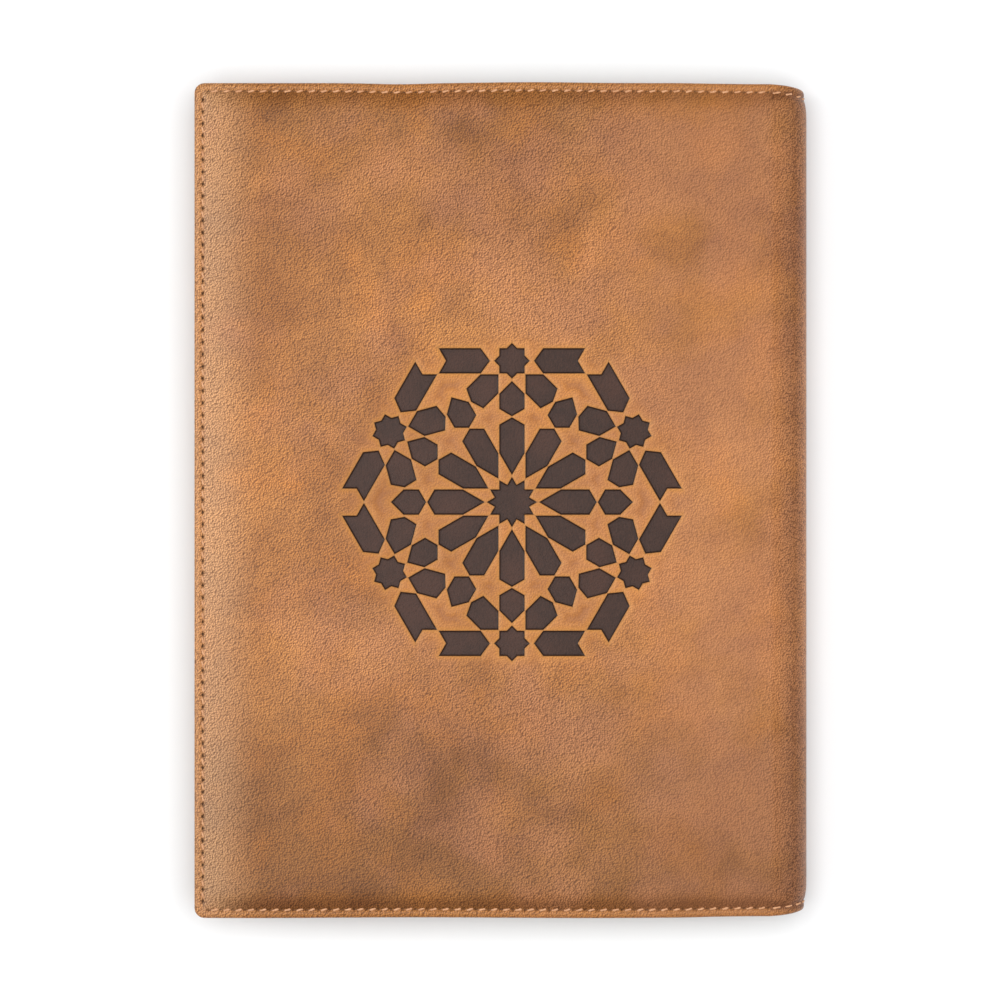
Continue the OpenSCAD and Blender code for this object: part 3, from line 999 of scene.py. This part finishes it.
        # painted shade in the needle holes
        colour = s.mix(s.math("MINIMUM", s.math("MULTIPLY", hole, 1.3), 0.9), colour, linear(44, 22, 12))
        rough = s.node("ShaderNodeMix", {0: pressed, 2: rough, 3: 0.62}, data_type="FLOAT").outputs[0]
    return s.finish(colour, normal, rough)


def lining_leather():
    s = Shader("lining_leather", roughness=0.66, specular=0.28)
    colour = s.mix(s.ramp(s.noise(60, 3.0), 0.35, 0.65), linear(112, 78, 52), linear(134, 97, 67))
    pebble = s.cells(2300, "SMOOTH_F1", 0.4)
    colour = s.mix(s.ramp(pebble, 0.45, 0.9, 0.0, 0.6), colour, linear(78, 50, 32))
    return s.finish(colour, s.bump(pebble, 0.45, 0.05))


def thread_material():
    s = Shader("waxed_thread", roughness=0.5, specular=0.4)
    fibre = s.noise(4200, 2.0, 0.6)
    colour = s.mix(s.ramp(fibre, 0.3, 0.7), linear(188, 132, 92), linear(226, 176, 134))
    colour = s.mix(s.ramp(s.noise(150, 2.0), 0.45, 0.7, 0.0, 0.45), colour, linear(176, 118, 78))
    return s.finish(colour, s.bump(fibre, 0.5, 0.05))


def weave(name, dark, light, pitch, roughness=0.85):
    """Plain weave, over and under, on all three axes."""
    s = Shader(name, roughness=roughness, specular=0.2)
    k = 2 * math.pi / (pitch * MM)
    xyz = s.node("ShaderNodeSeparateXYZ", {0: s.place})
    waves = [s.math("SINE", s.math("MULTIPLY", xyz.outputs[i], k)) for i in range(3)]
    over = s.math("ADD", s.math("MULTIPLY", waves[0], waves[1]), s.math("MULTIPLY", waves[1], waves[2]))
    height = s.math("ADD", over, s.math("MULTIPLY", s.noise(2500, 2.0), 0.8))
    colour = s.mix(s.ramp(height, -0.8, 1.3), dark, light)
    colour = s.mix(s.ramp(s.noise(220, 3.0), 0.4, 0.7, 0.0, 0.3), colour, dark)
    return s.finish(colour, s.bump(height, 0.5, 0.08))


def page_paper():
    s = Shader("page_paper", roughness=0.88, specular=0.15)
    leaf = s.noise(1.0, 3.0, 0.7, where=s.scaled(1.5, 1.5, 9000))
    colour = s.mix(s.ramp(leaf, 0.35, 0.65), linear(214, 203, 176), linear(240, 232, 211))
    colour = s.mix(s.ramp(s.noise(900, 4.0, 0.65), 0.35, 0.65, 0.0, 0.3), colour, linear(224, 212, 184))
    normal = s.bump(leaf, 0.4, 0.05)
    normal = s.bump(s.noise(2600, 3.0, 0.6), 0.15, 0.03, normal)
    return s.finish(colour, normal)


def endpaper():
    s = Shader("endpaper", roughness=0.85, specular=0.18)
    fibre = s.noise(900, 4.0, 0.65)
    colour = s.mix(s.ramp(fibre, 0.35, 0.65), linear(214, 202, 174), linear(238, 230, 208))
    colour = s.mix(s.ramp(s.noise(3200, 2.0), 0.66, 0.78, 0.0, 0.6), colour, linear(168, 148, 112))
    return s.finish(colour, s.bump(fibre, 0.2, 0.04))


def fibre_board():
    s = Shader("pressed_fibre_board", roughness=0.9, specular=0.15)
    fibre = s.noise(700, 5.0, 0.7, distortion=0.8)
    colour = s.mix(s.ramp(fibre, 0.3, 0.7), linear(128, 116, 98), linear(176, 164, 142))
    return s.finish(colour, s.bump(fibre, 0.4, 0.08))


def headband():
    s = Shader("headband_weave", roughness=0.6, specular=0.3)
    z = s.node("ShaderNodeSeparateXYZ", {0: s.place}).outputs[2]
    stripe = s.math("SINE", s.math("MULTIPLY", z, 2 * math.pi / (1.1 * MM)))
    fine = s.math("SINE", s.math("MULTIPLY", z, 2 * math.pi / (0.22 * MM)))
    colour = s.mix(s.ramp(stripe, -0.2, 0.2), linear(112, 62, 36), linear(226, 204, 168))
    return s.finish(colour, s.bump(fine, 0.6, 0.1))


# ---------- build ----------
leather = cover_leather("cover_leather")
plain_leather = cover_leather("sleeve_leather", with_marks=False)
lining = lining_leather()
thread = thread_material()
book_cloth = weave("book_cloth", linear(34, 31, 29), linear(70, 65, 60), 0.5)
gauze = weave("mull_gauze", linear(176, 166, 142), linear(230, 222, 200), 0.9)
paper = page_paper()
paste = endpaper()
board = fibre_board()
band = headband()

both_panels(leather, lining, plain_leather, thread)
build_spine(leather, lining, thread, book_cloth)
pages(paper)
for node, material in {
    "back_stiffener": board, "front_stiffener": board,
    "notebook_back_board": book_cloth, "notebook_front_board": book_cloth,
    "notebook_back_pastedown": paste, "notebook_front_pastedown": paste,
    "spine_mull": gauze, "headband_head": band, "headband_tail": band,
}.items():
    mesh = frame["nodes"][node].data
    mesh.materials.clear()
    mesh.materials.append(material)

# ---------- floor, light, camera ----------
floor_mesh = bpy.data.meshes.new("floor")
floor_mesh.from_pydata([(-6, -6, 0), (6, -6, 0), (6, 6, 0), (-6, 6, 0)], [], [(0, 1, 2, 3)])
floor = bpy.data.objects.new("floor", floor_mesh)
floor.location.z = -0.0002
bpy.context.scene.collection.objects.link(floor)
f = Shader("pale_floor", roughness=0.9, specular=0.1)
floor_mesh.materials.append(f.finish(linear(239, 240, 241)))


def softbox(name, at, look, width, height, power, diffuse=True, gloss=True):
    light = bpy.data.lights.new(name, "AREA")
    light.shape, light.size, light.size_y = "RECTANGLE", width, height
    light.energy = power
    obj = bpy.data.objects.new(name, light)
    obj.location = at
    obj.rotation_euler = (Vector(look) - Vector(at)).to_track_quat("-Z", "Y").to_euler()
    obj.visible_diffuse, obj.visible_glossy = diffuse, gloss
    bpy.context.scene.collection.objects.link(obj)


softbox("left_strip", (-0.75, 0.0, 1.3), (0, 0, 0.0), 0.3, 2.2, 14, diffuse=False)
softbox("left_softbox", (-1.3, 0.2, 1.0), (0, 0, 0.0), 0.8, 1.3, 7)
softbox("right_softbox", (1.3, 0.0, 1.0), (0, 0, 0.0), 0.8, 1.3, 5)
softbox("top_fill", (0, 0, 1.9), (0, 0, 0), 1.7, 1.7, 31, gloss=False)

world = bpy.data.worlds.new("studio")
world.use_nodes = True
world.node_tree.nodes["Background"].inputs[0].default_value = (1, 1, 1, 1)
world.node_tree.nodes["Background"].inputs[1].default_value = 0.42
bpy.context.scene.world = world

VIEW_FROM, VIEW_WIDTH = 1.5, 0.2629   # height above the cover, and what the picture spans there
EYE_X, EYE_Y = -0.00034, 0.00005      # the camera's place over the cover, in metres
camera = bpy.data.cameras.new("camera")
camera.sensor_width = 36
camera.lens = 36 * VIEW_FROM / VIEW_WIDTH
camera.clip_start, camera.clip_end = 0.05, 20
eye = bpy.data.objects.new("camera", camera)
eye.location = (EYE_X, EYE_Y, T * MM + VIEW_FROM)
bpy.context.scene.collection.objects.link(eye)
bpy.context.scene.camera = eye
bpy.context.scene.view_settings.view_transform = "Standard"
